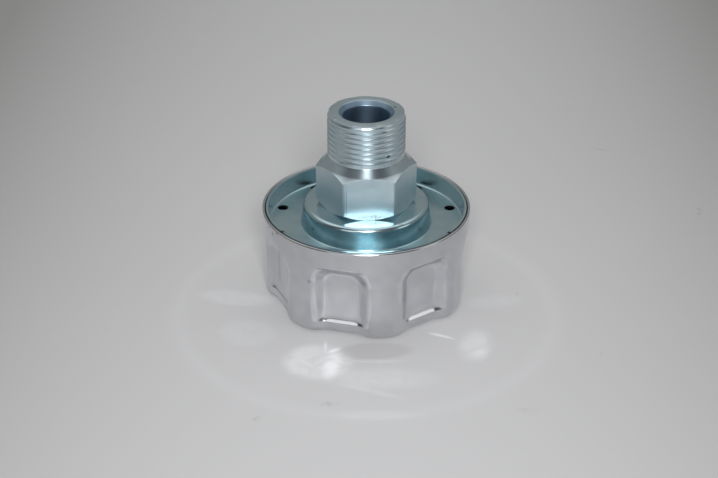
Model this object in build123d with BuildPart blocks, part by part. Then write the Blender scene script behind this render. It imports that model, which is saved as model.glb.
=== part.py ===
from build123d import *
import os
from math import asin, cos, pi, radians, sin, sqrt, tan

os.makedirs("parts", exist_ok=True)

# Hydraulic filler breather with a G 3/4 neck, millimetres.
# It stands on its crown with the threaded neck upwards, Z up, origin at the
# middle of the crown's outer face. In use it is screwed in the other way up.

# Cap: one drawn steel cup with finger grips pressed into its side
sheet = 0.75  # thickness of the cap's and the base plate's sheet
rim_radius = 35.66
cap_height = 33.8
cap_draft = 1.3  # degrees that the side leans in towards the crown
crown_corner = 2.8  # outer rounding between side and crown
grip_count = 7
grip_azimuth = -53.5  # direction of the middle of a grip, degrees from +X

# Each grip is a pocket with a flat floor, open towards a shallower flute that
# runs on below a ledge and round the crown's edge
pocket_floor = 30.8  # distance of the floor from the axis
pocket_half = 5.2  # half the floor's width
pocket_top = 22.7
pocket_foot = 5.4
pocket_corner = 1.0
pocket_wall = (  # (distance out from the floor, spread at the sides, spread at the ends)
    (0.0, 0.0, 0.0),
    (0.12, 0.5, 0.5),
    (0.5, 1.0, 1.0),
    (1.2, 1.6, 1.6),
    (2.2, 2.55, 2.4),
    (2.7, 3.25, 2.8),
    (3.0, 4.1, 3.1),
    (3.15, 5.2, 3.3),
    (7.0, 5.6, 3.5),
)
flute_floor = 31.6
flute_half = 5.7
flute_top = 6.6
flute_shoulder = 10.3  # half width at which the flute meets the round side
flute_reach = 8.0
flute_edge_round = 4.0
flute_root_round = 1.5

# Base plate: one zinc-plated pressing with a flange, a trough and a drum
flange_radius = 34.5
trough_top = cap_height - 6.1
drum_top = cap_height + 1.75
drum_radius = 21.5
drum_foot_radius = 22.3
drum_round = 1.5
drum_foot_round = 0.5
flange_round = 0.75
plate_hole = 12.1
vent_count = 10
vent_radius = 1.85
vent_pitch = 30.7
vent_azimuth = 18

# Neck: turned from hexagon bar, with a spigot through the drum and a G 3/4 thread
hex_flats = 30.0
hex_corner_radius = 17.15
hex_turn = 3.4  # degrees that the flats are turned from square
hex_height = 15.25
hex_foot_chamfer = 1.7
hex_head_chamfer = 1.55
collar_foot = 15.0
collar_head = 12.95
collar_height = 2.1
undercut_radius = 12.1
undercut_height = 1.7
thread_radius = 13.2205
thread_length = 14.3
thread_end_chamfer = 1.43
thread_root_chamfer = 0.8
bore_radius = 8.0
bore_mouth = 1.3
spigot_radius = 12.0
spigot_foot = 27.0
seat_radius = 6.6  # ledge that the spider rests on
seat_height = 2.0

# Neck fixing inside the drum
seal_radius = 17.0
seal_height = 1.2
ring_washer_radius = 18.2
ring_washer_height = 1.4
locknut_flats = 32.0
locknut_height = 4.0

# Filter element: pleated paper between two end discs
element_radius = 26.0
element_inner = 15.6
gasket_inner = 22.6
gasket_height = 1.5
disc_sheet = 0.5
disc_lip = 2.6
core_radius = 16.6
core_sheet = 0.6
core_rows = 4
core_holes = 12
core_hole_radius = 2.0
pleat_inner = 17.6
pleat_outer = 23.6
pleat_count = 48
paper = 0.6
cage_radius = 25.0
cage_sheet = 0.5
cage_windows = 12
cage_rows = 3
cage_bar = 1.6

# Central tie: stud on the crown, baffle inside the core, spider in the neck
stud_radius = 3.0
stud_foot_radius = 5.5
stud_foot_height = 1.2
stud_top = 40.0
nut_flats = 10.0
nut_height = 5.0
thin_nut_height = 3.2
baffle_radius = 14.2
baffle_hub = 6.5
baffle_height = 17.4
baffle_sheet = 0.8
baffle_fall = 2.4
spider_height = 2.0
spider_radius = 7.9
spider_hub = 5.6
spider_arms = 3
spider_arm_width = 4.5
washer_radius = 5.5
washer_height = 1.0
spring_radius = 5.0
spring_height = 1.6
spring_gap = 0.8
hole_play = 0.15

plate_underside = trough_top - sheet
drum_underside = drum_top - sheet
hex_top = drum_top + hex_height
undercut_foot = hex_top + collar_height
thread_foot = undercut_foot + undercut_height
thread_top = thread_foot + thread_length
disc_foot = sheet + gasket_height
element_foot = disc_foot + disc_sheet
disc_head = plate_underside - gasket_height
element_head = disc_head - disc_sheet
element_height = element_head - element_foot
stud_hole = stud_radius + hole_play


def ring(inner, outer, foot, height):
    # Flat ring or tube about Z
    with BuildPart() as made:
        with BuildSketch(Plane.XY.offset(foot)):
            Circle(outer)
            Circle(inner, mode=Mode.SUBTRACT)
        extrude(amount=height)
    return made.part


def hex_nut(flats, bore, foot, height):
    # Nut with its corners turned off at both ends
    corner = flats / sqrt(3)
    drop = (corner - flats / 2) * tan(radians(30))
    with BuildPart() as made:
        with BuildSketch(Plane.XZ):
            with BuildLine():
                Polyline(
                    (bore, foot),
                    (flats / 2, foot),
                    (corner, foot + drop),
                    (corner, foot + height - drop),
                    (flats / 2, foot + height),
                    (bore, foot + height),
                    close=True,
                )
            make_face()
        revolve(axis=Axis.Z)
        with BuildSketch(Plane.XY.offset(foot)):
            RegularPolygon(flats / 2, 6, major_radius=False)
        extrude(amount=height, mode=Mode.INTERSECT)
    return made.part


def grip_pocket(skin):
    # Cutter for the deep part of a grip, facing +X, walls flaring outwards
    middle = (pocket_top + pocket_foot) / 2
    height = pocket_top - pocket_foot
    with BuildPart() as made:
        for out, side_spread, end_spread in pocket_wall:
            distance = pocket_floor - skin + out
            with BuildSketch(Plane(origin=(distance, 0, 0), x_dir=(0, 1, 0), z_dir=(1, 0, 0))):
                with Locations((0, middle)):
                    RectangleRounded(
                        2 * (pocket_half + side_spread + skin / 2),
                        height + 2 * (end_spread + skin),
                        pocket_corner + 0.8 * end_spread,
                    )
        loft()
    return made.part


def grip_flute(skin):
    # Cutter for the flute below a grip, facing +X, rolled round the crown's edge
    floor = flute_floor - skin
    foot_radius = rim_radius - cap_height * tan(radians(cap_draft)) + 0.1
    lean = asin(flute_shoulder / foot_radius)
    shoulder = foot_radius * cos(lean)
    end = shoulder - flute_reach * tan(lean)
    with BuildPart() as made:
        with BuildSketch(Plane.XY.offset(crown_corner)) as section:
            with BuildLine():
                Polyline(
                    (floor + flute_reach, -flute_shoulder - flute_reach),
                    (end, -flute_shoulder - flute_reach),
                    (shoulder, -flute_shoulder),
                    (floor, -flute_half),
                    (floor, flute_half),
                    (shoulder, flute_shoulder),
                    (end, flute_shoulder + flute_reach),
                    (floor + flute_reach, flute_shoulder + flute_reach),
                    close=True,
                )
            make_face()
            corners = section.vertices().sort_by(lambda v: abs(v.Y))
            fillet(corners[2:4], flute_edge_round)
            corners = section.vertices().sort_by(lambda v: abs(v.Y))
            fillet(corners[0:2], flute_root_round)
        extrude(amount=flute_top - crown_corner)
        revolve(
            section.sketch,
            axis=Axis((floor - crown_corner + skin, 0, crown_corner), (0, 1, 0)),
            revolution_arc=90,
        )
    return made.part


def cap_form(skin):
    # Solid inside the cap's outer face, or inside its inner face where skin = sheet
    foot_radius = rim_radius - cap_height * tan(radians(cap_draft))
    pocket = grip_pocket(skin)
    flute = grip_flute(skin)
    with BuildPart() as made:
        with BuildSketch(Plane.XZ) as half:
            with BuildLine():
                Polyline(
                    (0, skin),
                    (foot_radius - skin, skin),
                    (rim_radius - skin, cap_height),
                    (0, cap_height),
                    close=True,
                )
            make_face()
            crown_edge = half.vertices().group_by(Axis.Y)[0].sort_by(Axis.X)[-1]
            fillet(crown_edge, crown_corner - skin)
        revolve(axis=Axis.Z)
        for number in range(grip_count):
            # the side's seam stays in the middle of the metal between two grips
            turn = 360 / grip_count * (number + 0.5)
            add(pocket, rotation=(0, 0, turn), mode=Mode.SUBTRACT)
            add(flute, rotation=(0, 0, turn), mode=Mode.SUBTRACT)
    return made.part


# Cap shell
cap_outside = cap_form(0)
cap_inside = cap_form(sheet)
with BuildPart() as cap_shell:
    add(cap_outside, rotation=(0, 0, grip_azimuth - 180 / grip_count))
    add(cap_inside, rotation=(0, 0, grip_azimuth - 180 / grip_count), mode=Mode.SUBTRACT)
cap_shell.part.label = "cap_shell"
export_step(cap_shell.part, "parts/cap_shell.step")

# Base plate
with BuildPart() as base_plate:
    with BuildSketch(Plane.XZ):
        with BuildLine():
            FilletPolyline(
                (plate_hole, drum_top),
                (drum_radius, drum_top),
                (drum_foot_radius, trough_top),
                (flange_radius - sheet, trough_top),
                (flange_radius - sheet, cap_height),
                radius=[drum_round, drum_foot_round, flange_round],
            )
            offset(amount=sheet, side=Side.RIGHT)
        make_face()
    revolve(axis=Axis.Z)
    with Locations((0, 0, trough_top)):
        with PolarLocations(vent_pitch, vent_count, start_angle=vent_azimuth):
            Hole(vent_radius, depth=2 * sheet)
base_plate.part.label = "base_plate"
export_step(base_plate.part, "parts/base_plate.step")

# Threaded neck
with BuildPart() as threaded_neck:
    with BuildSketch(Plane.XZ):
        with BuildLine():
            Polyline(
                (0, drum_top),
                (collar_foot, drum_top),
                (hex_corner_radius, drum_top + hex_foot_chamfer),
                (hex_corner_radius, hex_top - hex_head_chamfer),
                (collar_foot, hex_top),
                (0, hex_top),
                close=True,
            )
        make_face()
    revolve(axis=Axis.Z)
    with BuildSketch(Plane.XY.offset(drum_top)):
        RegularPolygon(hex_flats / 2, 6, major_radius=False, rotation=hex_turn)
    extrude(amount=hex_height, mode=Mode.INTERSECT)
    with BuildSketch(Plane.XZ):
        with BuildLine():
            foot_edge = Line((0, hex_top - 1), (collar_foot, hex_top - 1))
            side_edge = Line(foot_edge @ 1, (collar_foot, hex_top))
            flare = ThreePointArc(
                side_edge @ 1,
                (collar_foot - 1.35, hex_top + 0.75),
                (collar_head, undercut_foot),
            )
            Polyline(
                flare @ 1,
                (undercut_radius, undercut_foot + 0.5),
                (undercut_radius, thread_foot - 0.2),
                (thread_radius - thread_root_chamfer, thread_foot),
                (thread_radius, thread_foot + thread_root_chamfer),
                (thread_radius, thread_top - thread_end_chamfer),
                (thread_radius - thread_end_chamfer, thread_top),
                (0, thread_top),
                foot_edge @ 0,
            )
        make_face()
    revolve(axis=Axis.Z)
    with BuildSketch(Plane.XY.offset(spigot_foot)):
        Circle(spigot_radius)
    extrude(amount=drum_top - spigot_foot)
    with BuildSketch(Plane.XZ):
        with BuildLine():
            Polyline(
                (0, spigot_foot),
                (seat_radius, spigot_foot),
                (seat_radius, spigot_foot + seat_height),
                (bore_radius, spigot_foot + seat_height),
                (bore_radius, thread_top - bore_mouth),
                (bore_radius + bore_mouth, thread_top),
                (0, thread_top),
                close=True,
            )
        make_face()
    revolve(axis=Axis.Z, mode=Mode.SUBTRACT)
threaded_neck.part.label = "threaded_neck"
export_step(threaded_neck.part, "parts/threaded_neck.step")

# Neck fixing: seal, washer and locknut on the spigot
seal_foot = drum_underside - seal_height
neck_seal = ring(plate_hole, seal_radius, seal_foot, seal_height)
neck_seal.label = "neck_seal"
export_step(neck_seal, "parts/neck_seal.step")

ring_washer_foot = seal_foot - ring_washer_height
neck_washer = ring(plate_hole, ring_washer_radius, ring_washer_foot, ring_washer_height)
neck_washer.label = "neck_washer"
export_step(neck_washer, "parts/neck_washer.step")

locknut_foot = ring_washer_foot - locknut_height
neck_locknut = hex_nut(locknut_flats, plate_hole, locknut_foot, locknut_height)
neck_locknut.label = "neck_locknut"
export_step(neck_locknut, "parts/neck_locknut.step")

# Element gaskets
lower_gasket = ring(gasket_inner, element_radius, sheet, gasket_height)
lower_gasket.label = "lower_gasket"
export_step(lower_gasket, "parts/lower_gasket.step")

upper_gasket = ring(gasket_inner, element_radius, disc_head, gasket_height)
upper_gasket.label = "upper_gasket"
export_step(upper_gasket, "parts/upper_gasket.step")

# End discs with a rolled lip round the element
with BuildPart() as lower_end_disc:
    with BuildSketch(Plane.XZ):
        with BuildLine():
            FilletPolyline(
                (element_inner, disc_foot),
                (element_radius, disc_foot),
                (element_radius, disc_foot + disc_lip),
                radius=2 * disc_sheet,
            )
            offset(amount=disc_sheet, side=Side.LEFT)
        make_face()
    revolve(axis=Axis.Z)
lower_end_disc.part.label = "lower_end_disc"
export_step(lower_end_disc.part, "parts/lower_end_disc.step")

with BuildPart() as upper_end_disc:
    with BuildSketch(Plane.XZ):
        with BuildLine():
            FilletPolyline(
                (element_inner, disc_head),
                (element_radius, disc_head),
                (element_radius, disc_head - disc_lip),
                radius=2 * disc_sheet,
            )
            offset(amount=disc_sheet, side=Side.RIGHT)
        make_face()
    revolve(axis=Axis.Z)
upper_end_disc.part.label = "upper_end_disc"
export_step(upper_end_disc.part, "parts/upper_end_disc.step")

# Perforated core tube
with BuildPart() as core_tube:
    add(ring(core_radius - core_sheet, core_radius, element_foot, element_height))
    row_pitch = element_height / core_rows
    for row in range(core_rows):
        row_height = element_foot + (row + 0.5) * row_pitch
        for number in range(core_holes // 2):
            turn = 360 / core_holes * (number + row % 2 / 2)
            with BuildSketch(Plane.XZ.rotated((0, 0, turn))):
                with Locations((0, row_height)):
                    Circle(core_hole_radius)
            extrude(amount=core_radius + 1, both=True, mode=Mode.SUBTRACT)
core_tube.part.label = "core_tube"
export_step(core_tube.part, "parts/core_tube.step")

# Pleated paper, folded to and fro between the core and the cage
with BuildPart() as pleated_media:
    with BuildSketch(Plane.XY.offset(element_foot)):
        for grow, mode in ((paper / 2, Mode.ADD), (-paper / 2, Mode.SUBTRACT)):
            step = pi / pleat_count
            radii = [pleat_inner + 2 * grow, pleat_outer + 2 * grow] * pleat_count
            folds = [(r * cos(n * step), r * sin(n * step)) for n, r in enumerate(radii)]
            with BuildLine():
                Polyline(*folds, close=True)
            make_face(mode=mode)
    extrude(amount=element_height)
pleated_media.part.label = "pleated_media"
export_step(pleated_media.part, "parts/pleated_media.step")

# Outer cage: a thin steel sleeve with rows of large windows
with BuildPart() as outer_cage:
    add(ring(cage_radius - cage_sheet, cage_radius, element_foot, element_height))
    window_pitch = element_height / cage_rows
    window_width = 2 * pi * cage_radius / cage_windows - cage_bar
    for row in range(cage_rows):
        window_height = element_foot + (row + 0.5) * window_pitch
        for number in range(cage_windows // 2):
            turn = 360 / cage_windows * (number + 0.5)
            with BuildSketch(Plane.XZ.rotated((0, 0, turn))):
                with Locations((0, window_height)):
                    RectangleRounded(window_width, window_pitch - cage_bar, cage_bar / 2)
            extrude(amount=cage_radius + 1, both=True, mode=Mode.SUBTRACT)
outer_cage.part.label = "outer_cage"
export_step(outer_cage.part, "parts/outer_cage.step")

# Stud welded to the middle of the crown
with BuildPart() as crown_stud:
    with BuildSketch(Plane.XY.offset(sheet)):
        Circle(stud_foot_radius)
    extrude(amount=stud_foot_height)
    with BuildSketch(Plane.XY.offset(sheet)):
        Circle(stud_radius)
    extrude(amount=stud_top - sheet)
    chamfer(crown_stud.edges().group_by(Axis.Z)[-1], 0.6)
crown_stud.part.label = "crown_stud"
export_step(crown_stud.part, "parts/crown_stud.step")

# Splash baffle: shallow dish on the stud inside the core
with BuildPart() as splash_baffle:
    with BuildSketch(Plane.XZ):
        with BuildLine():
            FilletPolyline(
                (stud_hole, baffle_height),
                (baffle_hub, baffle_height),
                (baffle_radius, baffle_height - baffle_fall),
                radius=2.0,
            )
            offset(amount=baffle_sheet, side=Side.LEFT)
        make_face()
    revolve(axis=Axis.Z)
splash_baffle.part.label = "splash_baffle"
export_step(splash_baffle.part, "parts/splash_baffle.step")

# Two thin nuts that hold the baffle, one on each side
with BuildPart() as baffle_nuts:
    add(hex_nut(nut_flats, stud_hole, baffle_height - thin_nut_height, thin_nut_height))
    add(hex_nut(nut_flats, stud_hole, baffle_height + baffle_sheet, thin_nut_height))
baffle_nuts.part.label = "baffle_nuts"
export_step(baffle_nuts.part, "parts/baffle_nuts.step")

# Spider on the ledge in the neck, open between its arms for the air
spider_foot = spigot_foot + seat_height
with BuildPart() as neck_spider:
    with BuildSketch(Plane.XY.offset(spider_foot)):
        Circle(spider_hub)
        with PolarLocations(0, spider_arms, start_angle=90):
            with Locations((spider_radius / 2, 0)):
                Rectangle(spider_radius, spider_arm_width)
        Circle(stud_hole, mode=Mode.SUBTRACT)
    extrude(amount=spider_height)
    with BuildSketch(Plane.XY.offset(spider_foot)):
        Circle(spider_radius)
    extrude(amount=spider_height, mode=Mode.INTERSECT)
neck_spider.part.label = "neck_spider"
export_step(neck_spider.part, "parts/neck_spider.step")

# Tie nut with its plain washer and split spring washer
washer_foot = spider_foot + spider_height
plain_washer = ring(stud_hole, washer_radius, washer_foot, washer_height)
plain_washer.label = "plain_washer"
export_step(plain_washer, "parts/plain_washer.step")

spring_foot = washer_foot + washer_height
with BuildPart() as spring_washer:
    add(ring(stud_hole, spring_radius, spring_foot, spring_height))
    with BuildSketch(Plane.XY.offset(spring_foot)):
        with Locations((spring_radius, 0)):
            Rectangle(2 * spring_radius, spring_gap)
    extrude(amount=spring_height, mode=Mode.SUBTRACT)
spring_washer.part.label = "spring_washer"
export_step(spring_washer.part, "parts/spring_washer.step")

tie_nut = hex_nut(nut_flats, stud_hole, spring_foot + spring_height, nut_height)
tie_nut.label = "tie_nut"
export_step(tie_nut, "parts/tie_nut.step")

print("height", round(thread_top, 2))
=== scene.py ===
# Hydraulic filler breather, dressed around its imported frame.
import bmesh
import bpy
from math import acos, atan2, cos, hypot, pi, radians, sin, sqrt, tan
from mathutils import Matrix, Vector


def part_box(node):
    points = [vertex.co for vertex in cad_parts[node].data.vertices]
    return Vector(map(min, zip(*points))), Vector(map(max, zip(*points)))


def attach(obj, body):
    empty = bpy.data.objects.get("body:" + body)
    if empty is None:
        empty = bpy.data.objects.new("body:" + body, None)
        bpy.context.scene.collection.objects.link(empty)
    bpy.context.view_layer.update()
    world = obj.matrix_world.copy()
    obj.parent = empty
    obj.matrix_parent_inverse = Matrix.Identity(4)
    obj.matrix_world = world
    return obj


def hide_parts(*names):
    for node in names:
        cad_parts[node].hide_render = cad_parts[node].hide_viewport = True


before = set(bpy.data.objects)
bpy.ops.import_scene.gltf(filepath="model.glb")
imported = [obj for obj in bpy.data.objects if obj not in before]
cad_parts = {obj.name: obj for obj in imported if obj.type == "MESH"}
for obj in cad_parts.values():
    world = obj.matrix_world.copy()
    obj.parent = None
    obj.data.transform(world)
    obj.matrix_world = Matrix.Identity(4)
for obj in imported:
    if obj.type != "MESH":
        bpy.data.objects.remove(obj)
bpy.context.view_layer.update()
scene = bpy.context.scene
mm = 0.001  # pieces are shaped in millimetres and scaled at the end


def cadSize(node):
    # half width across X, lowest and highest Z of a CAD node, in millimetres
    low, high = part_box(node)
    return (high[0] - low[0]) / 2 / mm, low[2] / mm, high[2] / mm


def linear(hexColour):
    # sRGB hex to a linear colour with alpha
    parts = [int(hexColour[n:n + 2], 16) / 255 for n in (1, 3, 5)]
    return [c / 12.92 if c <= 0.04045 else ((c + 0.055) / 1.055) ** 2.4 for c in parts] + [1.0]


def addNode(tree, kind, settings=None, values=None, links=None, stops=()):
    # one shader node with its settings, unlinked values, links and, on a colour ramp, its stops
    node = tree.nodes.new(kind)
    for name, value in (settings or {}).items():
        setattr(node, name, value)
    for name, value in (values or {}).items():
        node.inputs[name].default_value = value
    for name, socket in (links or {}).items():
        tree.links.new(socket, node.inputs[name])
    if stops:
        elements = node.color_ramp.elements
        while len(elements) < len(stops):
            elements.new(0.5)
        for element, (position, colour) in zip(elements, stops):
            element.position = position
            element.color = linear(colour)
    return node


def paintSpot(tree, place, base, colour, centre, size, turn=0.0, core=0.3, strength=1.0, broken=None):
    # colour laid over the base inside an ellipsoid in millimetres, fading towards its surface
    local = addNode(tree, "ShaderNodeMapping", {"vector_type": "TEXTURE"},
                    {"Location": [c * mm for c in centre], "Rotation": (0, 0, radians(turn)),
                     "Scale": [c * mm for c in size]}, {"Vector": place})
    far = addNode(tree, "ShaderNodeVectorMath", {"operation": "LENGTH"}, links={0: local.outputs["Vector"]})
    fade = addNode(tree, "ShaderNodeMapRange", {"interpolation_type": "SMOOTHSTEP"},
                   {"From Min": 1.0, "From Max": core, "To Max": strength}, {"Value": far.outputs["Value"]})
    mask = fade.outputs["Result"]
    if broken is not None:  # a second mask that breaks the spot up
        mask = addNode(tree, "ShaderNodeMath", {"operation": "MULTIPLY"},
                       links={0: mask, 1: broken}).outputs["Value"]
    mix = addNode(tree, "ShaderNodeMix", {"data_type": "RGBA"}, {7: linear(colour)}, {0: mask, 6: base})
    return mix.outputs[2]


def newMaterial(name):
    material = bpy.data.materials.new(name)
    material.use_nodes = True
    tree = material.node_tree
    tree.nodes.clear()
    output = addNode(tree, "ShaderNodeOutputMaterial")
    place = addNode(tree, "ShaderNodeTexCoord")
    return material, tree, output, place.outputs["Object"]


zincLook = {
    "paleTint": "#D2E0E6",
    "deepTint": "#C0D5DD",
    "palePressed": "#C8DDE2",  # the thin sheet took the blue more strongly
    "deepPressed": "#B2CFD7",
    "paleBoreShade": "#A3B9CA",  # painted shade: the bore is given a darker blue than the rest of the plating
    "deepBoreShade": "#86A0B8",
    "patchSize": 9.0,  # mm, drifts of the passivation's tint
    "speckSize": 0.32,  # mm, dirt and rubbed spots
    "grainSize": 0.25,  # mm, crystals of the plating, drawn coarse enough to show
    "feedTurned": 0.45,  # mm, real feed marks are near 0.15 and would not show
    "feedBored": 0.8,
}
waveBand = 0.314  # a Wave texture's bands are this far apart at scale 1


def blueZinc(name, roughness, feed=None, anisotropy=0.0, marks=(), tints=("deepTint", "paleTint")):
    # bright zinc plate with blue passivation: cold tint that drifts, soft streaks
    material, tree, output, place = newMaterial(name)
    drift = addNode(tree, "ShaderNodeTexNoise",
                    values={"Scale": 1 / (zincLook["patchSize"] * mm), "Detail": 3.0},
                    links={"Vector": place})
    tint = addNode(tree, "ShaderNodeValToRGB", links={"Fac": drift.outputs["Fac"]},
                   stops=[(0.3, zincLook[tints[0]]), (0.7, zincLook[tints[1]])])
    colour = tint.outputs["Color"]
    specks = addNode(tree, "ShaderNodeTexNoise",
                     values={"Scale": 1 / (zincLook["speckSize"] * mm), "Detail": 2.0},
                     links={"Vector": place})
    speckMask = addNode(tree, "ShaderNodeMapRange", values={"From Min": 0.46, "From Max": 0.6},
                        links={"Value": specks.outputs["Fac"]})
    # marks laid over the tint; some of them are painted reflection and painted shade
    for markColour, centre, size, speckled in marks:
        broken = speckMask.outputs["Result"] if speckled else None
        colour = paintSpot(tree, place, colour, markColour, centre, size, broken=broken)
    shader = addNode(tree, "ShaderNodeBsdfPrincipled",
                     values={"Metallic": 1.0, "Roughness": roughness, "Anisotropic": anisotropy,
                             "Anisotropic Rotation": 0.25},  # spreads light across the turning marks
                     links={"Base Color": colour})
    grain = addNode(tree, "ShaderNodeTexNoise",
                    values={"Scale": 1 / (zincLook["grainSize"] * mm), "Detail": 2.0},
                    links={"Vector": place})
    bump = addNode(tree, "ShaderNodeBump", values={"Strength": 0.12, "Distance": 0.02 * mm},
                   links={"Height": grain.outputs["Fac"]})
    if feed:
        rings = addNode(tree, "ShaderNodeTexWave",
                        {"wave_type": "BANDS", "bands_direction": "Z", "wave_profile": "SIN"},
                        {"Scale": waveBand / (feed * mm), "Distortion": 0.6, "Detail": 2.0,
                         "Detail Scale": 2.0},
                        {"Vector": place})
        bump = addNode(tree, "ShaderNodeBump", values={"Strength": 0.5, "Distance": 0.012 * mm},
                       links={"Height": rings.outputs["Fac"], "Normal": bump.outputs["Normal"]})
    tree.links.new(bump.outputs["Normal"], shader.inputs["Normal"])
    if anisotropy:
        tangent = addNode(tree, "ShaderNodeTangent", {"direction_type": "RADIAL", "axis": "Z"})
        tree.links.new(tangent.outputs["Tangent"], shader.inputs["Tangent"])
    tree.links.new(shader.outputs["BSDF"], output.inputs["Surface"])
    return material


# marks on the zinc, some of them painted reflection and painted shade: (colour, centre, half sizes, broken
# up into specks), millimetres
neckMarksAndReflections = [
    ("#141616", (7.35, -10.85, 57.2), (0.95, 1.4, 0.8), False),  # chip in the thread
    ("#2A2F31", (9.6, 3.6, 68.9), (0.6, 0.6, 0.5), False),  # nick in the end face
    ("#3A3D3C", (8.3, -9.4, 55.2), (0.6, 1.0, 0.35), True),
    ("#1F2223", (5.1, -10.6, 67.75), (1.7, 1.3, 0.16), False),  # dark dashes on the near side of the turned end: painted dark reflection
    ("#1F2223", (5.6, -11.4, 66.55), (1.9, 1.3, 0.16), False),
    ("#34383A", (-4.2, -10.9, 67.65), (1.5, 1.2, 0.14), False),
    ("#2A2D2E", (-4.0, -12.0, 66.3), (1.9, 1.2, 0.14), False),
]
hexMarks = [
    ("#6A6458", (1.8, -15.0, 36.5), (7.0, 2.0, 1.6), True),  # dirt along the hexagon's foot
    ("#5F7F8C", (-6.68, -15.4, 43.0), (0.14, 1.0, 8.0), False),  # drawing lines beside the corner
    ("#6E8C98", (-7.3, -15.4, 43.0), (0.1, 1.0, 9.0), False),
    ("#5A7078", (14.2, -9.0, 38.5), (1.0, 1.5, 1.2), True),
]
plateMarksAndShade = [
    ("#171B1C", (-28.0, -19.6, 33.7), (0.9, 0.9, 0.9), False),  # dark spots on the flange: painted shade of small notches under the rim
    ("#171B1C", (27.6, -20.0, 33.7), (0.9, 0.9, 0.9), False),
    ("#5C5A52", (-4.5, -21.3, 35.4), (3.0, 0.6, 0.6), True),  # rubbed edge of the drum
    ("#5C5A52", (12.6, -17.6, 35.4), (2.2, 1.0, 0.6), True),
]

chromeLook = {
    "metal": "#D6D7DA",
    "deepMetal": "#CBCCD0",
    "roughness": 0.2,
    "mottle": 6.0,  # mm, clouds left by the drawing
    "grainSize": 0.5,
}

# marks on the cap: (colour, centre, half sizes), millimetres
capMarks = [
    ("#B2B3BA", (-19.0, -29.5, 20.1), (0.9, 1.5, 0.9)),
    ("#7C6F6C", (-32.8, -13.9, 32.3), (1.2, 1.2, 0.3)),  # rubbed places under the rim
    ("#6E6462", (-29.8, -19.5, 33.0), (1.0, 1.0, 0.35)),
    ("#8A8280", (-31.6, -16.6, 31.2), (0.4, 0.6, 1.1)),
]


def satinChrome():
    # satin chrome on a drawn sheet: soft even sheen, faint mottle from the drawing
    material, tree, output, place = newMaterial("satinChrome")
    mottle = addNode(tree, "ShaderNodeTexNoise",
                     values={"Scale": 1 / (chromeLook["mottle"] * mm), "Detail": 4.0},
                     links={"Vector": place})
    rough = addNode(tree, "ShaderNodeMapRange",
                    values={"To Min": chromeLook["roughness"] - 0.03,
                            "To Max": chromeLook["roughness"] + 0.04},
                    links={"Value": mottle.outputs["Fac"]})
    tint = addNode(tree, "ShaderNodeValToRGB", links={"Fac": mottle.outputs["Fac"]},
                   stops=[(0.3, chromeLook["deepMetal"]), (0.7, chromeLook["metal"])])
    grain = addNode(tree, "ShaderNodeTexNoise",
                    values={"Scale": 1 / (chromeLook["grainSize"] * mm), "Detail": 2.0},
                    links={"Vector": place})
    bump = addNode(tree, "ShaderNodeBump", values={"Strength": 0.1, "Distance": 0.02 * mm},
                   links={"Height": grain.outputs["Fac"]})
    colour = tint.outputs["Color"]
    for markColour, centre, size in capMarks:
        colour = paintSpot(tree, place, colour, markColour, centre, size)
    shader = addNode(tree, "ShaderNodeBsdfPrincipled", values={"Metallic": 1.0},
                     links={"Base Color": colour, "Roughness": rough.outputs["Result"],
                            "Normal": bump.outputs["Normal"]})
    tree.links.new(shader.outputs["BSDF"], output.inputs["Surface"])
    return material


def plainSolid(name, colour, other, metallic, roughness, grainSize):
    # inner pieces: one tone with a fine grain of its own
    material, tree, output, place = newMaterial(name)
    grain = addNode(tree, "ShaderNodeTexNoise", values={"Scale": 1 / (grainSize * mm), "Detail": 3.0},
                    links={"Vector": place})
    tint = addNode(tree, "ShaderNodeValToRGB", links={"Fac": grain.outputs["Fac"]},
                   stops=[(0.3, colour), (0.7, other)])
    bump = addNode(tree, "ShaderNodeBump", values={"Strength": 0.2, "Distance": 0.05 * mm},
                   links={"Height": grain.outputs["Fac"]})
    shader = addNode(tree, "ShaderNodeBsdfPrincipled",
                     values={"Metallic": metallic, "Roughness": roughness},
                     links={"Base Color": tint.outputs["Color"], "Normal": bump.outputs["Normal"]})
    tree.links.new(shader.outputs["BSDF"], output.inputs["Surface"])
    return material


# turned thread and end: fine rings that draw the light out sideways
zincTurned = blueZinc("blueZincTurned", 0.3, zincLook["feedTurned"], 0.4, neckMarksAndReflections)
# smooth turned cone: one upright glint between dark sides
zincCollar = blueZinc("blueZincCollar", 0.25, anisotropy=0.65)
# flats of cold-drawn bar: duller, the light fades slowly down them
zincDrawn = blueZinc("blueZincDrawn", 0.45, marks=hexMarks)
# bore: a darker blue painted as shade down the bore, with little shine
zincBoredShaded = blueZinc("blueZincBoredShaded", 0.4, zincLook["feedBored"], 0.3, tints=("deepBoreShade", "paleBoreShade"))
# rolled and pressed sheet: smooth enough to mirror what stands on it
zincPressed = blueZinc("blueZincPressed", 0.23, marks=plateMarksAndShade, tints=("deepPressed", "palePressed"))
chrome = satinChrome()
bareSteel = plainSolid("bareSteel", "#8E9092", "#9A9C9E", 1.0, 0.35, 0.6)  # grey, slightly cloudy
sealRubber = plainSolid("nitrileRubber", "#151515", "#1E1E1E", 0.0, 0.6, 0.4)  # black and dull
filterPaper = plainSolid("filterPaper", "#C9B173", "#D6C189", 0.0, 0.85, 0.3)  # resin-yellow fibres
print("materials made")


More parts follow.
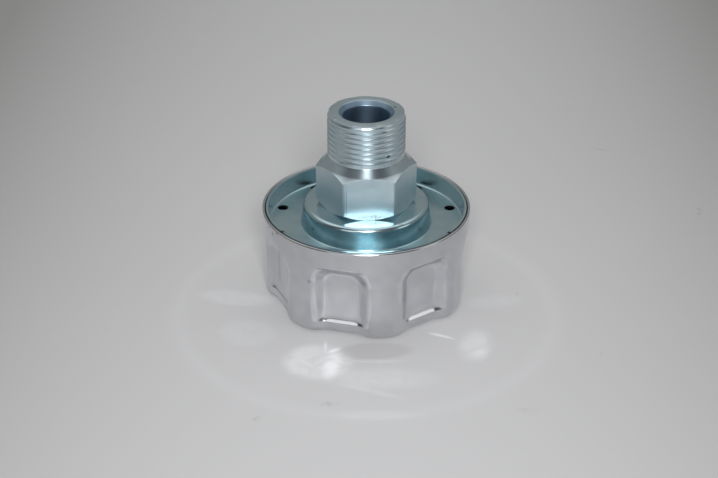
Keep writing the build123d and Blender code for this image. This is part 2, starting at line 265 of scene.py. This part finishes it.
def finishPiece(bm, name, materials, replaced, smoothAngle=30):
    # bmesh in millimetres to a finished piece in metres
    bmesh.ops.remove_doubles(bm, verts=bm.verts, dist=0.003)
    bmesh.ops.recalc_face_normals(bm, faces=bm.faces)
    bmesh.ops.scale(bm, vec=(mm, mm, mm), verts=bm.verts)
    mesh = bpy.data.meshes.new(name)
    for edge in bm.edges:
        if len(edge.link_faces) == 2:
            edge.smooth = edge.calc_face_angle(0) < radians(smoothAngle)
    for face in bm.faces:
        face.smooth = True
    bm.to_mesh(mesh)
    bm.free()
    for material in materials:
        mesh.materials.append(material)
    piece = bpy.data.objects.new(name, mesh)
    scene.collection.objects.link(piece)
    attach(piece, "root")
    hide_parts(replaced)
    print(name, len(mesh.polygons), "faces")
    return piece


def addOutline(bm, points):
    # open chain of edges in the XZ plane
    verts = [bm.verts.new((x, 0, z)) for x, z in points]
    return verts + [bm.edges.new(pair) for pair in zip(verts, verts[1:])]


def spinOutline(bm, points, steps, rise=0.0):
    # full turn about Z; rise is the climb of a helix in one turn
    chain = addOutline(bm, points)
    bmesh.ops.spin(bm, geom=chain, cent=(0, 0, 0), axis=(0, 0, 1), dvec=(0, 0, rise / steps), angle=2 * pi,
                   steps=steps, use_merge=not rise)


def arcPoints(centre, radius, start, end, count):
    # points along an arc, angles in degrees
    cx, cz = centre
    angles = [radians(start + (end - start) * n / count) for n in range(count + 1)]
    return [(cx + radius * cos(a), cz + radius * sin(a)) for a in angles]


def between(start, end, count):
    # evenly spaced points from start to end
    return [(start[0] + (end[0] - start[0]) * n / count, start[1] + (end[1] - start[1]) * n / count)
            for n in range(count + 1)]


def smoothMin(a, b, blendWidth):
    # lower of two heights with the crease between them rounded
    near = max(blendWidth - abs(a - b), 0) / blendWidth
    return min(a, b) - near * near * blendWidth / 4


def smoothMax(a, b, blendWidth):
    return -smoothMin(-a, -b, blendWidth)


# cap: one drawn sheet with finger grips pressed into its side
cap = {
    "rimRadius": 35.66,
    "sheet": 0.75,
    "draft": 1.3,  # degrees
    "corner": 2.8,
    "crownFlat": 12.0,  # radius inside which the crown is never pressed
    "crownFade": 14.0,  # from here to the corner the grips come in
    "grips": 7,
    "gripTurn": -53.5,  # degrees from +X to the middle of a grip
    # pocket for a finger: floor's distance from the axis, its half width, top and foot
    "pocketFloor": 30.8,
    "pocketHalf": 5.2,
    "pocketTop": 22.7,
    "pocketFoot": 4.8,
    "pocketCorner": 2.2,
    "lipCorner": 3.2,
    # the pocket's floor sweeps out over this height down to the ledge, the higher the power the later
    "scoopHeight": 6.5,
    "scoopDepth": 0.8,
    "scoopPower": 4.5,
    # flute that runs on below the pocket to the crown's edge
    "fluteFloor": 31.6,
    "fluteHalf": 6.2,
    "fluteTop": 4.5,
    "fluteSlope": 0.52,
    "fluteEndSlope": 4.0,
    "fluteRoot": 1.6,
    "fluteEndRoot": 0.5,
    "fluteEdge": 2.4,
    # rounding where the ledge, the lip and the sides meet the round wall
    "ledgeRound": 0.6,
    "lipRound": 0.9,
    "sideRound": 2.2,
    "steps": 448,
}

# wall of a grip: (distance out from its floor, spread at the sides, spread at the upper end)
gripWall = [(-0.5, -2.0, -2.0), (0.0, 0.0, 0.0), (0.12, 0.7, 0.5), (0.5, 1.5, 1.0), (1.2, 2.6, 1.6),
            (2.2, 4.0, 2.4), (2.7, 4.75, 2.75), (3.0, 5.5, 3.0), (3.2, 6.25, 3.2), (3.45, 7.3, 3.42),
            (7.0, 12.5, 5.6)]


def wallAt(out, column):
    # spread of the wall at a distance out, a smooth monotone curve through the rows
    rows = gripWall
    n = 0
    while n < len(rows) - 2 and out > rows[n + 1][0]:
        n += 1

    def rise(k):
        return (rows[k + 1][column] - rows[k][column]) / (rows[k + 1][0] - rows[k][0])

    def slopeAt(k):
        if k == 0 or k == len(rows) - 1:
            return rise(min(k, len(rows) - 2))
        before, after = rise(k - 1), rise(k)
        return 2 * before * after / (before + after)

    width = rows[n + 1][0] - rows[n][0]
    t = (out - rows[n][0]) / width
    return ((2 * t ** 3 - 3 * t * t + 1) * rows[n][column] + (t ** 3 - 2 * t * t + t) * width * slopeAt(n)
            + (3 * t * t - 2 * t ** 3) * rows[n + 1][column] + (t ** 3 - t * t) * width * slopeAt(n + 1))


def scoopAt(out):
    # spread of the wall at the lower end, where the floor sweeps out
    past = max(out, 0) / cap["scoopDepth"]
    if past < 1:
        return cap["scoopHeight"] * (past ** (1 / cap["scoopPower"]) - 1) + min(out, 0)
    return (past - 1) * cap["scoopHeight"] / cap["scoopPower"]


# the wall in steps of 0.01 mm: (distance out, spread at the sides, at the upper end, at the lower end)
wallTable = [(n / 100, wallAt(n / 100, 1), wallAt(n / 100, 2), scoopAt(n / 100)) for n in range(-50, 701)]


def outsidePocket(u, z, row):
    # distance of a point outside the rounded rectangle that the pocket has at one row
    middle = (cap["pocketTop"] + cap["pocketFoot"]) / 2
    upper = z > middle
    end = row[2] if upper else row[3]
    corner = (cap["lipCorner"] if upper else cap["pocketCorner"]) + max(end, 0)
    across = abs(u) - (cap["pocketHalf"] + row[1] - corner)
    along = abs(z - middle) - ((cap["pocketTop"] - cap["pocketFoot"]) / 2 + end - corner)
    return hypot(max(across, 0), max(along, 0)) + min(max(across, along), 0) - corner


def gripDistance(u, z):
    # how far out the pressed surface of a grip stands, at u across and z up
    low, high = 0, len(wallTable) - 1
    while high - low > 1:
        middle = (low + high) // 2
        if outsidePocket(u, z, wallTable[middle]) > 0:
            low = middle
        else:
            high = middle
    a, b = outsidePocket(u, z, wallTable[low]), outsidePocket(u, z, wallTable[high])
    part = min(max(a / (a - b), 0), 1) if a != b else 0
    out = max(wallTable[low][0] + part * 0.01, 0)
    pocket = cap["pocketFloor"] + out
    fluteSide = cap["fluteSlope"] * smoothMax(abs(u) - cap["fluteHalf"], 0, cap["fluteRoot"])
    fluteEnd = cap["fluteEndSlope"] * smoothMax(z - cap["fluteTop"], 0, cap["fluteEndRoot"])
    return smoothMin(pocket, cap["fluteFloor"] + fluteSide + fluteEnd, cap["ledgeRound"])


def pressGrip(u, radius, z):
    # how far the round side of that radius is pressed in
    if abs(u) >= radius:
        return 0.0
    side = sqrt(radius * radius - u * u)
    # edges are rounder along the flute and sharper at the lip; both come in over a few millimetres
    nearFoot = min(max((cap["fluteTop"] + 3 - z) / 4, 0), 1)
    nearTop = min(max((z - cap["pocketTop"] + 2) / 3, 0), 1)
    blendWidth = cap["sideRound"] + (cap["fluteEdge"] - cap["sideRound"]) * nearFoot
    blendWidth += (cap["lipRound"] - cap["sideRound"]) * nearTop
    return max(side - smoothMin(side, gripDistance(u, z), blendWidth), 0.0)


def makeCap():
    foot, rim = cadSize("cap_shell")[1:]
    rimRadius, corner, crownFade = cap["rimRadius"], cap["corner"], cap["crownFade"]
    slope = tan(radians(cap["draft"]))
    cornerRadius = rimRadius - (rim - corner) * slope
    rim -= cap["sheet"] * slope  # the thickened wall leans, so its inner edge stands this much higher
    # rows stand closer where the lip and the ledge of the grips are
    bands = [(rim, 27.0, 11), (27.0, 25.0, 18), (25.0, 6.0, 31), (6.0, 3.6, 20), (3.6, corner, 3)]
    levels = [rim]
    for start, end, count in bands:
        levels += [start + (end - start) * n / count for n in range(1, count + 1)]
    outline = [(rimRadius - (levels[0] - z) * slope, z) for z in levels]
    outline += arcPoints((cornerRadius - corner, corner), corner, 0, -90, 9)[1:]
    outline += between((cornerRadius - corner, foot), (0, foot), 9)[1:]
    bm = bmesh.new()
    spinOutline(bm, outline, cap["steps"])
    bmesh.ops.remove_doubles(bm, verts=bm.verts, dist=0.003)
    pitch = 2 * pi / cap["grips"]
    for vert in bm.verts:
        x, y, z = vert.co
        radius = hypot(x, y)
        if radius < cap["crownFlat"]:
            continue
        turn = atan2(y, x) - radians(cap["gripTurn"])
        middle = round(turn / pitch) * pitch + radians(cap["gripTurn"])
        offset = atan2(y, x) - middle
        u, v = radius * sin(offset), radius * cos(offset)
        level = max(z, corner)
        sideRadius = rimRadius - (rim - level) * slope
        fade = 1
        if z <= foot + 0.001:  # on the crown
            fade = min(max((radius - crownFade) / (cornerRadius - corner - crownFade), 0), 1)
        v -= pressGrip(u, sideRadius, level) * fade
        vert.co = (v * cos(middle) - u * sin(middle), v * sin(middle) + u * cos(middle), z)
    bmesh.ops.recalc_face_normals(bm, faces=bm.faces)
    piece = finishPiece(bm, "satinCap", [chrome], "cap_shell", 60)
    wall = piece.modifiers.new("sheet", "SOLIDIFY")
    wall.thickness = cap["sheet"] * mm
    wall.offset = -1
    return piece


# base plate: flange, vented trough and raised drum in one pressing
plate = {
    "flangeRadius": 34.5,
    "sheet": 0.75,
    "hole": 12.1,
    "drumRadius": 21.5,
    "drumFootRadius": 22.3,
    "drumRound": 1.5,
    "footRound": 0.5,
    "flangeRound": 0.75,
    "vents": 10,
    "ventPitch": 30.7,  # radius of the circle that the vents stand on
    "ventRadius": 1.85,
    "ventTurn": 18,  # degrees
    "troughDepth": 6.1,
    "steps": 256,
}


def roundedOutline(points, radii, count=6):
    # polyline in XZ with its inner corners rounded
    outline = [points[0]]
    for before, here, after, radius in zip(points, points[1:], points[2:], radii):
        h = Vector(here)
        a = (Vector(before) - h).normalized()
        b = (Vector(after) - h).normalized()
        half = acos(max(-1, min(1, a.dot(b)))) / 2
        reach = radius / tan(half)
        centre = h + (a + b).normalized() * radius / sin(half)
        start = h + a * reach - centre
        end = h + b * reach - centre
        turn = atan2(start.x * end.y - start.y * end.x, start.dot(end))
        for n in range(count + 1):
            spot = centre + Matrix.Rotation(turn * n / count, 2) @ start
            outline.append((spot.x, spot.y))
    outline.append(points[-1])
    return outline


def makePlate():
    drumTop = cadSize("base_plate")[2]
    rim = cadSize("cap_shell")[2]
    trough = rim - plate["troughDepth"]
    inner = plate["flangeRadius"] - plate["sheet"]
    outline = roundedOutline(
        [(plate["hole"], drumTop), (plate["drumRadius"], drumTop), (plate["drumFootRadius"], trough),
         (inner, trough), (inner, rim)],
        [plate["drumRound"], plate["footRound"], plate["flangeRound"]])
    bm = bmesh.new()
    spinOutline(bm, outline, plate["steps"])
    bmesh.ops.remove_doubles(bm, verts=bm.verts, dist=0.003)
    bmesh.ops.recalc_face_normals(bm, faces=bm.faces)
    if sum(f.normal.z * f.calc_area() for f in bm.faces) < 0:
        bmesh.ops.reverse_faces(bm, faces=bm.faces)
    bmesh.ops.scale(bm, vec=(mm, mm, mm), verts=bm.verts)
    mesh = bpy.data.meshes.new("zincPlate")
    bm.to_mesh(mesh)
    bm.free()
    blank = bpy.data.objects.new("plateBlank", mesh)
    scene.collection.objects.link(blank)
    wall = blank.modifiers.new("sheet", "SOLIDIFY")
    wall.thickness = plate["sheet"] * mm
    wall.offset = -1
    cutter = bmesh.new()
    for number in range(plate["vents"]):
        angle = radians(plate["ventTurn"]) + 2 * pi / plate["vents"] * number
        out = Vector((cos(angle), sin(angle), 0)) * plate["ventPitch"]
        spot = Matrix.Translation(out + Vector((0, 0, trough)))
        bmesh.ops.create_cone(cutter, cap_ends=True, segments=40, radius1=plate["ventRadius"],
                              radius2=plate["ventRadius"], depth=4, matrix=spot)
    bmesh.ops.scale(cutter, vec=(mm, mm, mm), verts=cutter.verts)
    cutterMesh = bpy.data.meshes.new("ventCutter")
    cutter.to_mesh(cutterMesh)
    cutter.free()
    punch = bpy.data.objects.new("ventCutter", cutterMesh)
    scene.collection.objects.link(punch)
    vents = blank.modifiers.new("vents", "BOOLEAN")
    vents.object = punch
    vents.operation = "DIFFERENCE"
    vents.solver = "EXACT"
    evaluated = blank.evaluated_get(bpy.context.evaluated_depsgraph_get())
    bm = bmesh.new()
    bm.from_mesh(evaluated.to_mesh())
    bmesh.ops.scale(bm, vec=(1 / mm, 1 / mm, 1 / mm), verts=bm.verts)
    bpy.data.objects.remove(blank)
    bpy.data.objects.remove(punch)
    return finishPiece(bm, "zincPlate", [zincPressed], "base_plate", 35)


# neck: hexagon, flared collar, undercut, pipe thread and bore, turned in one piece
neck = {
    "flats": 30.0,
    "cornerRadius": 17.15,
    "hexTurn": 3.4,  # degrees
    "hexHeight": 15.25,
    "footChamfer": 1.7,
    "headChamfer": 1.55,
    "collarHead": 12.95,
    "collarHeight": 2.1,
    "collarTop": 53.3,
    "collarLip": (0.04, 0.16),  # tiny step down into the undercut
    "undercutRadius": 12.8,
    "undercutHeight": 1.7,
    "threadRadius": 13.2205,
    "threadPitch": 1.8143,
    "threadDepth": 1.0,
    "threadRows": 10,
    "threadPhase": 0.3,
    "threadRounding": 0.17,
    "flankSteepness": 1.25,
    "threadRise": 1.2,  # slope of the run-out above the undercut
    "endChamfer": 1.43,
    "endRound": 2.0,
    "bore": 8.0,
    "boreMouth": 1.45,
    "mouthRounds": (0.25, 0.5),
    "seatRadius": 6.6,
    "seatHeight": 2.0,
    "spigotRadius": 12.0,
    "steps": 360,
}


def threadForm(phase):
    # 0 at the root, 1 at the crest, flanks between, both ends rounded
    climb = 1 - abs(2 * (phase % 1) - 1)
    raised = (climb - 0.5) * neck["flankSteepness"] + 0.5
    return smoothMin(smoothMax(raised, 0, neck["threadRounding"]), 1, neck["threadRounding"])


def makeNeck():
    turned, drawn, bored, coned = range(4)  # material slots
    spigotFoot, top = cadSize("threaded_neck")[1:]
    drumTop = cadSize("base_plate")[2]
    steps = neck["steps"]
    hexTop = drumTop + neck["hexHeight"]
    undercutFoot = hexTop + neck["collarHeight"]
    threadFoot = undercutFoot + neck["undercutHeight"]
    flat = neck["flats"] / 2
    crest, pitch = neck["threadRadius"], neck["threadPitch"]
    root = crest - neck["threadDepth"]
    bm = bmesh.new()

    # hexagon: rings that slide along the chamfers as far as the flats allow
    hexRings = [(flat, drumTop), (neck["cornerRadius"], drumTop + neck["footChamfer"]),
                (neck["cornerRadius"], hexTop - neck["headChamfer"]), (flat, hexTop)]
    spinOutline(bm, [hexRings[0]] + between(hexRings[1], hexRings[2], 8) + [hexRings[3]], steps)
    footSlope = neck["footChamfer"] / (neck["cornerRadius"] - flat)
    headSlope = neck["headChamfer"] / (neck["cornerRadius"] - flat)
    for vert in bm.verts:
        angle = atan2(vert.co.y, vert.co.x)
        away = angle % (pi / 3) - pi / 6
        radius = hypot(vert.co.x, vert.co.y)
        allowed = min(radius, flat / cos(away))
        low = drumTop + (allowed - flat) * footSlope
        high = hexTop - (allowed - flat) * headSlope
        if radius > flat + 0.01:
            part = (vert.co.z - hexRings[1][1]) / (hexRings[2][1] - hexRings[1][1])
            squeeze = allowed / radius
            vert.co = (vert.co.x * squeeze, vert.co.y * squeeze, low + (high - low) * part)
    for face in bm.faces:
        head = face.calc_center_median().z > (drumTop + hexTop) / 2
        face.material_index = drawn if abs(face.normal.z) < 0.05 else coned if head else turned

    # collar and undercut
    collar = between((flat, hexTop), (neck["collarHead"], neck["collarTop"]), 8)
    lipWidth, lipHeight = neck["collarLip"]
    collar += [(neck["undercutRadius"] + lipWidth, neck["collarTop"] + lipHeight)]
    collar += [(neck["undercutRadius"], threadFoot)]
    spinOutline(bm, collar, steps)

    # thread: one helical outline, then cut to its envelope
    turns = int((top - threadFoot) / pitch) + 3
    rows = neck["threadRows"]
    outline = []
    for n in range(turns * rows + 1):
        phase = n / rows
        outline.append((root + neck["threadDepth"] * threadForm(phase + neck["threadPhase"]),
                        threadFoot + (phase - 1.5) * pitch))
    before = set(bm.verts)
    spinOutline(bm, outline, steps, rise=pitch)
    helix = [v for v in bm.verts if v not in before]
    endFace = crest - neck["endChamfer"]
    for vert in helix:
        radius = hypot(vert.co.x, vert.co.y)
        z = min(max(vert.co.z, threadFoot), top)
        fromEnd = min((top - z) / neck["endRound"], 1)
        endBow = endFace + (crest - endFace) * sqrt(max(1 - (1 - fromEnd) ** 2, 0))
        envelope = min(crest, neck["undercutRadius"] + (z - threadFoot) * neck["threadRise"], endBow)
        wanted = min(radius, envelope)
        if z <= threadFoot:
            wanted = neck["undercutRadius"]
        elif z >= top:
            wanted = endFace
        else:
            wanted = max(wanted, neck["undercutRadius"] - 0.02)
        squeeze = wanted / radius
        vert.co = (vert.co.x * squeeze, vert.co.y * squeeze, z)

    # end face, mouth, bore, seat, spigot and the hexagon's underside
    bore = neck["bore"]
    mouth, step = bore + neck["boreMouth"], top - neck["boreMouth"]
    mouthLine = [(endFace, top), (mouth, top), (bore, step), (bore, step - 2)]
    inside = roundedOutline(mouthLine, neck["mouthRounds"], 5)
    inside += between((bore, step - 2), (bore, spigotFoot + neck["seatHeight"]), 12)[1:]
    inside += [(neck["seatRadius"], spigotFoot + neck["seatHeight"]), (neck["seatRadius"], spigotFoot),
               (neck["spigotRadius"], spigotFoot), (neck["spigotRadius"], drumTop), (flat, drumTop)]
    spinOutline(bm, inside, steps)
    for face in bm.faces:
        middle = face.calc_center_median()
        reach = hypot(middle.x, middle.y)
        if reach < mouth - 0.12:
            face.material_index = bored
        elif neck["undercutRadius"] - 0.1 < reach < flat and hexTop < middle.z < threadFoot:
            face.material_index = coned
    turn = Matrix.Rotation(radians(neck["hexTurn"]), 3, "Z")
    bmesh.ops.rotate(bm, cent=(0, 0, 0), matrix=turn, verts=bm.verts)
    looks = [zincTurned, zincDrawn, zincBoredShaded, zincCollar]
    return finishPiece(bm, "zincNeck", looks, "threaded_neck", 28)


makeCap()
makePlate()
makeNeck()

# the pieces inside keep their own solids
innerLooks = {
    "neck_seal": sealRubber, "lower_gasket": sealRubber, "upper_gasket": sealRubber,
    "neck_washer": zincPressed, "plain_washer": zincPressed, "spring_washer": zincPressed,
    "neck_spider": zincPressed, "neck_locknut": zincDrawn, "baffle_nuts": zincDrawn, "tie_nut": zincDrawn,
    "lower_end_disc": bareSteel, "upper_end_disc": bareSteel, "core_tube": bareSteel,
    "outer_cage": bareSteel, "crown_stud": bareSteel, "splash_baffle": bareSteel,
    "pleated_media": filterPaper,
}
for node, material in innerLooks.items():
    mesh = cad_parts[node].data
    if mesh.materials:
        mesh.materials[0] = material
    else:
        mesh.materials.append(material)
print("inner pieces dressed")


stage = {
    "floor": "#BABABB",
    # painted shade: the floor's colour darkens to this towards the sides
    "side": "#8E8D8C",
    "glow": "#F4F5F8",
    "shade": "#8C8B8B",
    "scuff": "#6F6E6C",
    "fadeReach": 0.175,  # metres to either side where the painted shade has brought the floor's tone down to the side's
    "reach": 3.0,
    "wispSize": 9.0,  # mm, clouds that break up the thrown light
    "scuffSize": 2.2,  # mm, specks that break up the scuffs
    "ringMiddle": (0, -14, 0),  # mm
    # strength of the glow by the distance from the ring's middle, in tenths of a metre
    "ring": [(0.60, "#000000"), (0.652, "#3A3A3A"), (0.675, "#242424"), (0.71, "#000000")],
    "disc": [(0.0, "#0C0C0C"), (0.64, "#0C0C0C"), (0.68, "#000000")],
}

# light thrown on the floor by the cap: (centre, half sizes, turn, core, strength), millimetres
glows = [
    ((-16.0, -47.0), (13.5, 12.5), 0, 0.6, 0.32),
    ((-11.0, -48.5), (4.0, 12.0), -8, 0.2, 0.55),
    ((-10.6, -40.2), (3.8, 1.4), 35, 0.1, 1.0),
    ((-13.5, -38.0), (0.9, 5.0), 0, 0.1, 0.5),
    ((36.5, -36.5), (7.5, 13.0), -12, 0.3, 0.24),
    ((38.0, -42.0), (3.5, 6.0), -20, 0.1, 0.2),
    ((25.5, -30.8), (7.0, 1.2), -24, 0.1, 0.6),
    ((-46.0, -6.0), (16.0, 6.0), -12, 0.6, 0.12),
    ((-40.0, -29.0), (12.0, 10.0), -20, 0.6, 0.08),
    ((4.0, -57.0), (24.0, 8.0), 0, 0.4, 0.14),
    ((2.0, -64.5), (15.0, 2.0), -22, 0.2, 0.12),
    ((4.0, -46.8), (13.0, 1.4), 0, 0.2, 0.14),
    ((44.0, -8.0), (14.0, 6.0), 10, 0.4, 0.08),
    ((4.0, -78.0), (18.0, 3.5), 0, 0.3, 0.1),
]
# scuffs on the floor: (centre, half sizes, turn)
scuffs = [
    ((-11.6, -72.0), (4.0, 2.4), 15),
    ((-33.9, -80.0), (3.0, 1.6), 40),
    ((50.7, -75.2), (5.0, 2.0), 0),
    ((53.4, -3.1), (1.4, 2.4), 20),
    ((62.0, -25.0), (2.6, 0.9), 60),
    ((78.0, -42.0), (1.6, 0.7), 60),
    ((97.0, 116.0), (5.0, 1.5), -30),
    ((128.0, 60.0), (1.6, 6.0), -10),
    ((7.6, -40.5), (0.5, 0.5), 0),
]


def makeStage():
    # pale laminate, lit less towards the sides, with the cap's reflections lying on it
    material, tree, output, place = newMaterial("paleFloor")
    # painted shade: the floor's colour turns darker towards the sides
    across = addNode(tree, "ShaderNodeSeparateXYZ", links={"Vector": place}).outputs["X"]
    squared = addNode(tree, "ShaderNodeMath", {"operation": "MULTIPLY"}, links={0: across, 1: across})
    paintedSideShade = addNode(tree, "ShaderNodeMapRange", values={"From Max": stage["fadeReach"] ** 2},
                   links={"Value": squared.outputs["Value"]})
    colour = addNode(tree, "ShaderNodeValToRGB", links={"Fac": paintedSideShade.outputs["Result"]},
                     stops=[(0.0, stage["floor"]), (1.0, stage["side"])]).outputs["Color"]

    # faint ring of light round the cap and a paler disc inside it
    fromMiddle = addNode(tree, "ShaderNodeVectorMath", {"operation": "SUBTRACT"},
                         {1: [c * mm for c in stage["ringMiddle"]]}, {0: place})
    away = addNode(tree, "ShaderNodeVectorMath", {"operation": "LENGTH"},
                   links={0: fromMiddle.outputs["Vector"]})
    decimetres = addNode(tree, "ShaderNodeMath", {"operation": "MULTIPLY"}, {1: 10.0},
                         {0: away.outputs["Value"]})
    for stops in (stage["ring"], stage["disc"]):
        mask = addNode(tree, "ShaderNodeValToRGB", links={"Fac": decimetres.outputs["Value"]}, stops=stops)
        mix = addNode(tree, "ShaderNodeMix", {"data_type": "RGBA"}, {7: linear(stage["glow"])},
                      {0: mask.outputs["Color"], 6: colour})
        colour = mix.outputs[2]

    cloud = addNode(tree, "ShaderNodeTexNoise",
                    values={"Scale": 1 / (stage["wispSize"] * mm), "Detail": 3.0, "Distortion": 1.5},
                    links={"Vector": place})
    wisps = addNode(tree, "ShaderNodeMapRange", values={"From Min": 0.3, "From Max": 0.6, "To Min": 0.5},
                    links={"Value": cloud.outputs["Fac"]})
    for centre, size, turn, core, strength in glows:
        colour = paintSpot(tree, place, colour, stage["glow"], centre + (0,), size + (100,), turn, core,
                           strength, wisps.outputs["Result"])
    # dim patch close under the cap's near side
    colour = paintSpot(tree, place, colour, stage["shade"], (3, -40.5, 0), (15, 6.5, 100), 4, 0.6, 0.3)
    smudge = addNode(tree, "ShaderNodeTexNoise",
                     values={"Scale": 1 / (stage["scuffSize"] * mm), "Detail": 4.0},
                     links={"Vector": place})
    worn = addNode(tree, "ShaderNodeMapRange", values={"From Min": 0.42, "From Max": 0.62},
                   links={"Value": smudge.outputs["Fac"]})
    for centre, size, turn in scuffs:
        colour = paintSpot(tree, place, colour, stage["scuff"], centre + (0,), size + (100,), turn, 0.2,
                           0.22, worn.outputs["Result"])
    shader = addNode(tree, "ShaderNodeBsdfPrincipled", values={"Roughness": 0.7},
                     links={"Base Color": colour})
    tree.links.new(shader.outputs["BSDF"], output.inputs["Surface"])
    bm = bmesh.new()
    bmesh.ops.create_grid(bm, x_segments=2, y_segments=2, size=stage["reach"])
    mesh = bpy.data.meshes.new("floor")
    bm.to_mesh(mesh)
    bm.free()
    mesh.materials.append(material)
    piece = bpy.data.objects.new("floor", mesh)
    scene.collection.objects.link(piece)
    print("floor laid")


# lamps: (name, place, size, watts, mirrored in the metal), metres
# the two cards are weak, and are there for the ledges of the grips
lamps = [
    ("flash", (0.03, -1.29, 0.80), (0.4, 0.3), 12, True),
    ("flashSpill", (0.03, -1.29, 0.80), (0.5, 0.3), 14, False),
    ("cardLeft", (-0.70, -1.22, 0.46), (0.6, 0.6), 1.25, True),
    ("cardRight", (1.36, -0.55, 0.30), (0.6, 0.6), 1.25, True),
]
lampTarget = Vector((0, 0, 0.03))


def makeLamps():
    for name, place, size, power, mirrored in lamps:
        data = bpy.data.lights.new(name, "AREA")
        data.shape = "RECTANGLE"
        data.size, data.size_y = size
        data.energy = power
        lamp = bpy.data.objects.new(name, data)
        lamp.location = place
        lamp.visible_glossy = mirrored
        lamp.rotation_euler = (lampTarget - Vector(place)).to_track_quat("-Z", "Y").to_euler()
        scene.collection.objects.link(lamp)
    print(len(lamps), "lamps hung")


room = {"wall": "#8A8B8A", "cove": "#F4F4F4", "ceiling": "#FFFFFF", "behind": "#505256"}


def makeWorld():
    world = bpy.data.worlds.new("studio")
    scene.world = world
    world.use_nodes = True
    tree = world.node_tree
    tree.nodes.clear()
    output = addNode(tree, "ShaderNodeOutputWorld")
    place = addNode(tree, "ShaderNodeTexCoord")
    split = addNode(tree, "ShaderNodeSeparateXYZ", links={"Vector": place.outputs["Generated"]})
    # bright ceiling over walls that stay dimmer, dimmest behind the camera
    height = addNode(tree, "ShaderNodeValToRGB", links={"Fac": split.outputs["Z"]},
                     stops=[(0.0, room["wall"]), (0.55, room["wall"]), (0.8, room["cove"]),
                            (1.0, room["ceiling"])])
    front = addNode(tree, "ShaderNodeMapRange", {"interpolation_type": "SMOOTHSTEP"},
                    {"From Min": 0.15, "From Max": -0.35}, {"Value": split.outputs["Y"]})
    under = addNode(tree, "ShaderNodeMapRange", {"interpolation_type": "SMOOTHSTEP"},
                    {"From Min": 0.97, "From Max": 0.88}, {"Value": split.outputs["Z"]})
    dimmed = addNode(tree, "ShaderNodeMath", {"operation": "MULTIPLY"},
                     links={0: front.outputs["Result"], 1: under.outputs["Result"]})
    mix = addNode(tree, "ShaderNodeMix", {"data_type": "RGBA"}, {7: linear(room["behind"])},
                  {0: dimmed.outputs["Value"], 6: height.outputs["Color"]})
    background = addNode(tree, "ShaderNodeBackground", values={"Strength": 1.0},
                         links={"Color": mix.outputs[2]})
    tree.links.new(background.outputs["Background"], output.inputs["Surface"])
    print("room lit")


shot = {
    "focal": 1673.0,  # in the units of frameWidth
    "frameWidth": 718.0,
    "sensor": 36.0,  # mm
    "pitch": 28.5,  # degrees down
    "yaw": 0.279,  # degrees to the left
    "distance": 511.5,  # mm in front of the axis
    "heightOverRim": 264.29,  # mm
}


def makeCamera():
    data = bpy.data.cameras.new("camera")
    data.sensor_width = shot["sensor"]
    data.lens = shot["focal"] / shot["frameWidth"] * shot["sensor"]
    data.clip_start = 0.01
    camera = bpy.data.objects.new("camera", data)
    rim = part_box("cap_shell")[1][2]
    camera.location = (0, -shot["distance"] * mm, shot["heightOverRim"] * mm + rim)
    camera.rotation_euler = (radians(90 - shot["pitch"]), 0, radians(shot["yaw"]))
    scene.collection.objects.link(camera)
    scene.camera = camera
    print("camera set")


makeStage()
makeWorld()
makeLamps()
makeCamera()
scene.view_settings.view_transform = "Standard"
